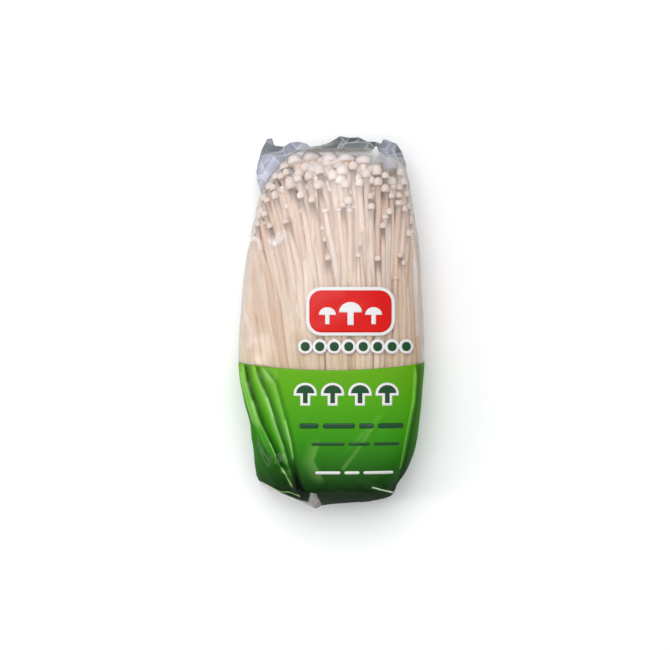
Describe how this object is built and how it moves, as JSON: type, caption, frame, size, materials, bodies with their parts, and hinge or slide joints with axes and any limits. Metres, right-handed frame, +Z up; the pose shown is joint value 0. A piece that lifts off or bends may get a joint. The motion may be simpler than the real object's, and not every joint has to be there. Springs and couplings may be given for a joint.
{
  "type": "enoki mushroom bunch",
  "caption": "Bunch of long thin enoki mushrooms with small round caps, grown from one base and packed in a tight crumpled film pouch, clear over the caps and green at the root end.",
  "frame": {"origin": "on the resting plane, under the middle of the overall box", "axes": "+Y from the root end to the caps, +X to the right seen from above with the caps away from the viewer, +Z up from the back seam to the front of the pack"},
  "size_m": [0.094, 0.19, 0.0468],
  "materials": {
    "mushroom_flesh": "smooth moist flesh, cream to pinkish white",
    "clear_film": "clear crumpled polypropylene film",
    "printed_film": "glossy film printed in green from the inside",
    "seam_film": "welded film, two layers"
  },
  "bodies": {
    "root": {"enoki_bunch": "mushroom_flesh", "pouch_clear_film": "clear_film", "pouch_printed_film": "printed_film", "pouch_back_seam": "seam_film"}
  },
  "joints": []
}
